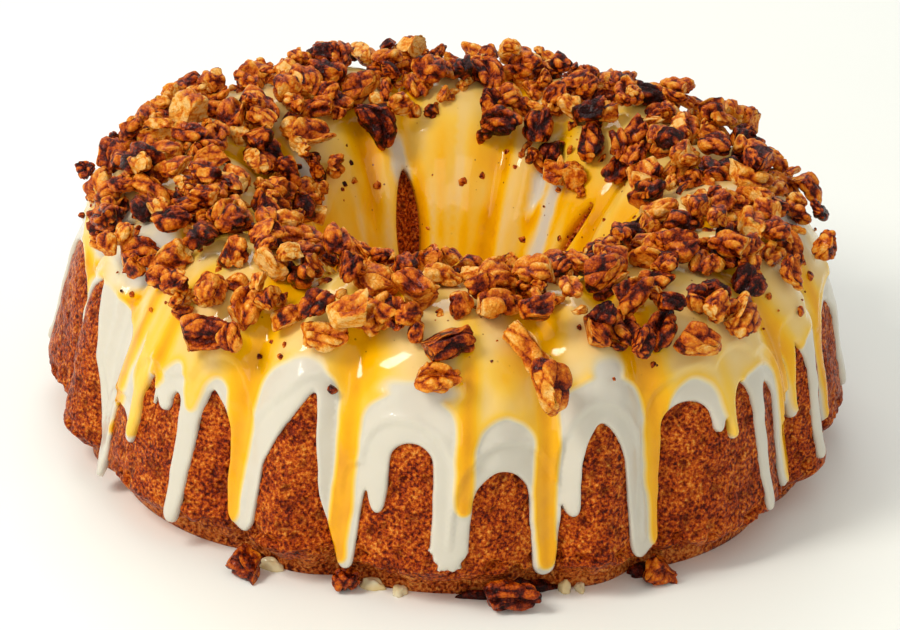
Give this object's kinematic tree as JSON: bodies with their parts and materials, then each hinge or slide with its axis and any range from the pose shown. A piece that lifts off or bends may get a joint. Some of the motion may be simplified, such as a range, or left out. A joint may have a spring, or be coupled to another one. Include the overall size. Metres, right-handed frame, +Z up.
{
  "type": "bundt cake",
  "caption": "Fluted ring cake with white icing and caramel running down in drips, topped with candied pecan pieces.",
  "frame": {"origin": "middle of the ring, on the surface the cake stands on", "axes": "+Z up along the ring's axis; the middle of a wide flute faces -Y"},
  "size_m": [0.2529, 0.252, 0.094],
  "materials": {
    "crumb": "browned cake crust, fine open crumb, slightly moist",
    "icing": "set white icing under a thin pour of caramel, glossy",
    "pecan": "candied pecan, sticky gloss"
  },
  "bodies": {
    "root": {"cake": "crumb", "foot_pecan_1": "pecan", "foot_pecan_2": "pecan", "foot_pecan_3": "pecan", "foot_pecan_4": "pecan", "foot_pecan_5": "pecan", "icing": "icing", "pecan_01": "pecan", "pecan_02": "pecan", "pecan_03": "pecan", "pecan_04": "pecan", "pecan_05": "pecan", "pecan_06": "pecan", "pecan_07": "pecan", "pecan_08": "pecan", "pecan_09": "pecan", "pecan_10": "pecan", "pecan_11": "pecan", "pecan_12": "pecan", "pecan_13": "pecan", "pecan_14": "pecan", "pecan_15": "pecan", "pecan_16": "pecan", "pecan_17": "pecan", "pecan_18": "pecan", "pecan_19": "pecan", "pecan_20": "pecan", "pecan_21": "pecan", "pecan_22": "pecan", "pecan_23": "pecan", "pecan_24": "pecan", "pecan_25": "pecan", "pecan_26": "pecan", "pecan_27": "pecan", "pecan_28": "pecan", "pecan_29": "pecan", "pecan_30": "pecan", "pecan_31": "pecan", "pecan_32": "pecan", "pecan_33": "pecan", "pecan_34": "pecan", "pecan_35": "pecan", "pecan_36": "pecan", "pecan_37": "pecan", "pecan_38": "pecan", "pecan_39": "pecan", "pecan_40": "pecan", "pecan_41": "pecan", "pecan_42": "pecan", "pecan_43": "pecan", "pecan_44": "pecan", "pecan_45": "pecan", "pecan_46": "pecan", "pecan_47": "pecan", "pecan_48": "pecan", "pecan_49": "pecan", "pecan_50": "pecan", "pecan_51": "pecan"}
  },
  "joints": []
}
